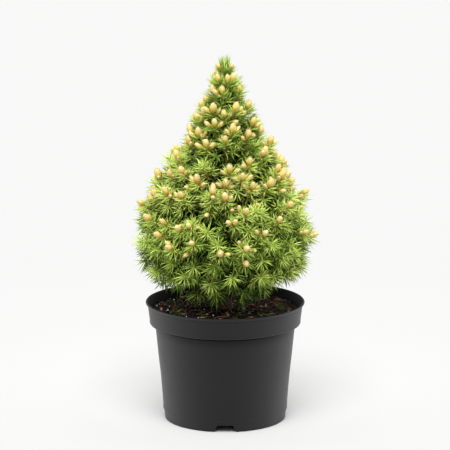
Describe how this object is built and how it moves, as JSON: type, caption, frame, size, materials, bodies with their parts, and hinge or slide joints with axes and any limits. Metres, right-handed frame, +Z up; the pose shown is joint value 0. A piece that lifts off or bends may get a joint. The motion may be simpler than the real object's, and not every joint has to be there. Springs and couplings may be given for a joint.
{
  "type": "potted alberta spruce",
  "caption": "Dwarf conical spruce with open spring buds, growing in a round black nursery pot with a banded rim.",
  "frame": {"origin": "centre of the pot's underside, at the level the pot stands on", "axes": "+Z up along the trunk, -Y the side that was the front"},
  "size_m": [0.1956, 0.1982, 0.396],
  "materials": {
    "pot": "matte, faintly grained black plastic",
    "potting_mix": "rough, dark, moist",
    "bark": "rough, scaly",
    "foliage": "satin needles"
  },
  "bodies": {
    "root": {"pot": "pot", "potting_mix": "potting_mix", "trunk": "bark", "skirt_bough_1": "bark", "skirt_bough_2": "bark", "skirt_bough_3": "bark", "skirt_bough_4": "bark", "skirt_bough_5": "bark", "skirt_bough_6": "bark", "low_bough_1": "bark", "low_bough_2": "bark", "low_bough_3": "bark", "low_bough_4": "bark", "low_bough_5": "bark", "low_bough_6": "bark", "low_bough_7": "bark", "broad_bough_1": "bark", "broad_bough_2": "bark", "broad_bough_3": "bark", "broad_bough_4": "bark", "broad_bough_5": "bark", "broad_bough_6": "bark", "broad_bough_7": "bark", "skirt_mass_1": "foliage", "skirt_mass_2": "foliage", "skirt_mass_3": "foliage", "skirt_mass_4": "foliage", "skirt_mass_5": "foliage", "skirt_mass_6": "foliage", "low_mass_1": "foliage", "low_mass_2": "foliage", "low_mass_3": "foliage", "low_mass_4": "foliage", "low_mass_5": "foliage", "low_mass_6": "foliage", "low_mass_7": "foliage", "broad_mass_1": "foliage", "broad_mass_2": "foliage", "broad_mass_3": "foliage", "broad_mass_4": "foliage", "broad_mass_5": "foliage", "broad_mass_6": "foliage", "broad_mass_7": "foliage", "middle_mass_1": "foliage", "middle_mass_2": "foliage", "middle_mass_3": "foliage", "middle_mass_4": "foliage", "middle_mass_5": "foliage", "middle_mass_6": "foliage", "upper_mass_1": "foliage", "upper_mass_2": "foliage", "upper_mass_3": "foliage", "upper_mass_4": "foliage", "high_mass_1": "foliage", "high_mass_2": "foliage", "high_mass_3": "foliage", "crest_mass_1": "foliage", "crest_mass_2": "foliage", "leader_mass": "foliage"}
  },
  "joints": []
}
